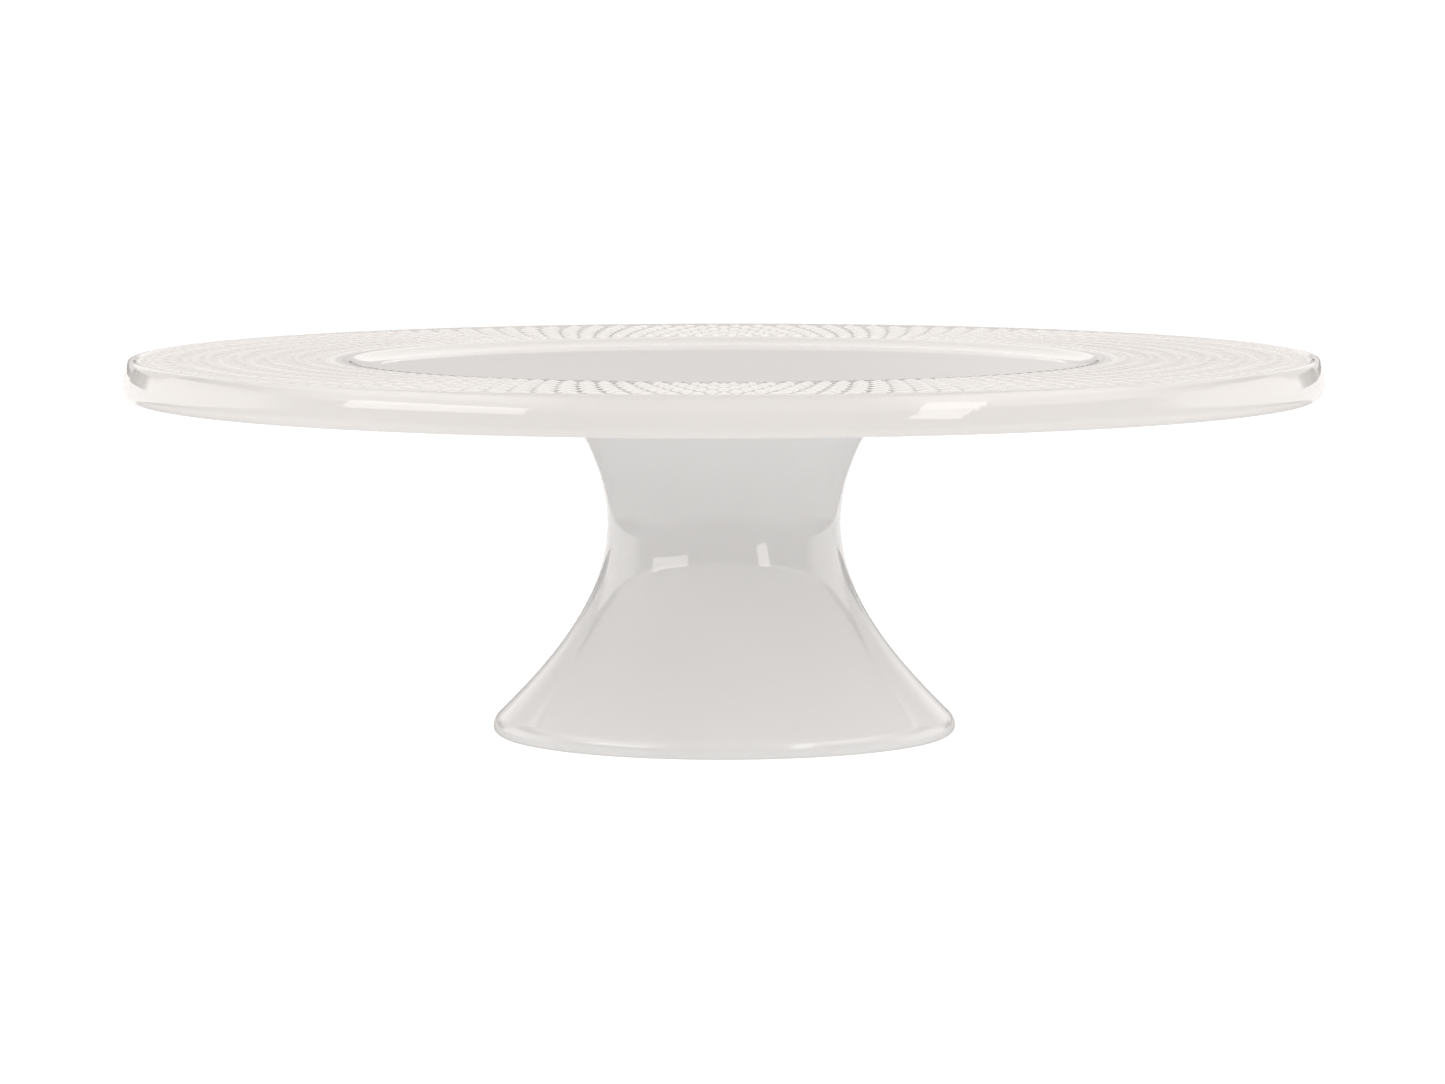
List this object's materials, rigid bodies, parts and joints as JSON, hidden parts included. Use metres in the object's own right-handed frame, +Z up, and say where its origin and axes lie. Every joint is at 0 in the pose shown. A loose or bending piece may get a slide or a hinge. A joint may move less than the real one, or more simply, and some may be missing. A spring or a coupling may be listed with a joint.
{
  "type": "cake stand",
  "caption": "Low footed cake stand: round plate with an embossed diamond rim, shallow well and down-turned skirt, on a hollow waisted pedestal.",
  "frame": {"origin": "centre of the foot ring, on the surface the stand rests on", "axes": "+Z up along the axis of the plate and pedestal; -Y is the side a viewer faces"},
  "size_m": [0.3, 0.3, 0.095],
  "materials": {
    "glazed_porcelain": "clear gloss glaze over white porcelain, bare clay on the foot ring"
  },
  "bodies": {
    "root": {"plate": "glazed_porcelain", "pedestal": "glazed_porcelain", "luting_slip": "glazed_porcelain"}
  },
  "joints": []
}
